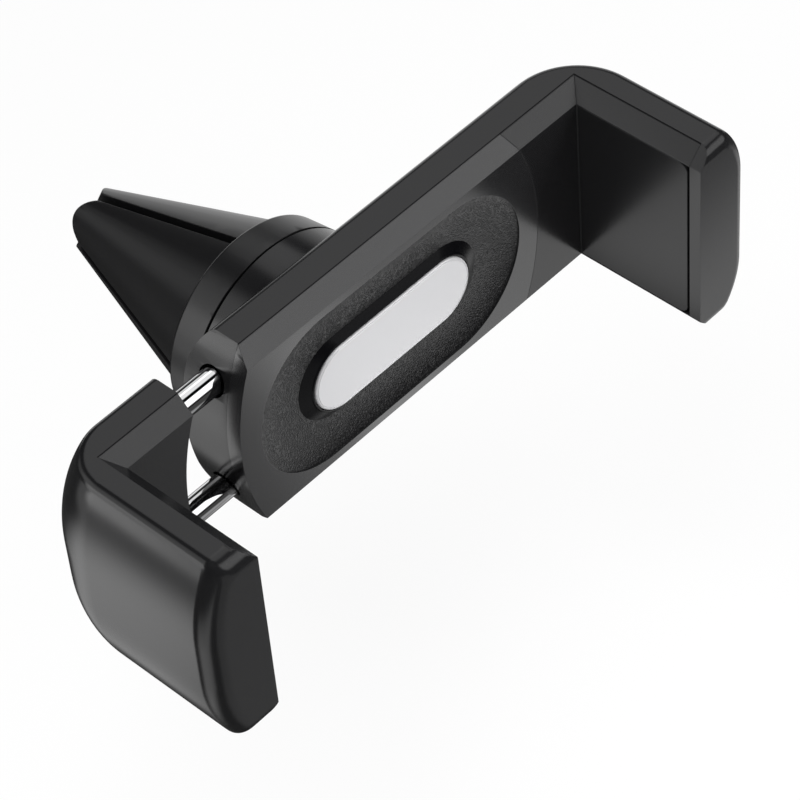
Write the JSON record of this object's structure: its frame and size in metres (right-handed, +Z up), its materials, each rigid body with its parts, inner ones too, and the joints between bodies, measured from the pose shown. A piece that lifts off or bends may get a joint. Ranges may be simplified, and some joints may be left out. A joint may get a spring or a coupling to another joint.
{
  "type": "air vent phone holder",
  "caption": "Sprung two-jaw cradle for a phone on chrome guide rods, with an oval grained pad, on a turning cone clip split by crossed slots that grip a vent blade.",
  "frame": {"origin": "on the clip's axis at the root of its crossed slots, where the edge of the vent blade stops", "axes": "+Y back along the clip's axis into the vent, +Z up, +X along the slide from the moving jaw to the fixed jaw"},
  "size_m": [0.0887, 0.0595, 0.0284],
  "materials": {
    "black_plastic": "satin moulded",
    "front_plastic": "satin moulded, a little paler",
    "clip_plastic": "satin moulded",
    "inner_plastic": "plain moulded",
    "gloss_black": "polished",
    "grain_rubber": "fine leather grain",
    "jaw_rubber": "smooth matt",
    "ring_rubber": "smooth",
    "silver": "satin anodised with a bright bevel",
    "chrome": "polished",
    "steel": "zinc plated",
    "spring_steel": "bright drawn wire",
    "brass": "plain"
  },
  "bodies": {
    "clip": {"vent_clip": "clip_plastic", "friction_ring": "ring_rubber", "pivot_washer": "steel", "pivot_screw": "steel"},
    "cradle": {"rear_housing": "black_plastic", "front_cover": "front_plastic", "fixed_jaw_cover": "black_plastic", "cover_screws": "steel", "back_pad": "grain_rubber", "badge_pedestal": "gloss_black", "badge_plate": "silver", "fixed_jaw_pad": "jaw_rubber", "rod_bush_upper": "brass", "rod_bush_lower": "brass"},
    "slide": {"moving_jaw": "black_plastic", "moving_jaw_cover": "black_plastic", "moving_jaw_screws": "steel", "moving_jaw_pad": "jaw_rubber", "guide_rod_upper": "chrome", "guide_rod_lower": "chrome", "crosshead": "inner_plastic", "rod_screws": "steel", "jaw_spring_upper": "spring_steel", "jaw_spring_lower": "spring_steel"}
  },
  "joints": [
    {"name": "clip_rotation", "type": "hinge", "parent": "clip", "child": "cradle", "pos_m": [0, -0.0054, 0], "axis": [0, 1, 0], "continuous": true},
    {"name": "jaw_slide", "type": "slide", "parent": "cradle", "child": "slide", "axis": [1, 0, 0], "range_m": [-0.017, 0.00795], "deforming": ["jaw_spring_upper", "jaw_spring_lower"]}
  ]
}
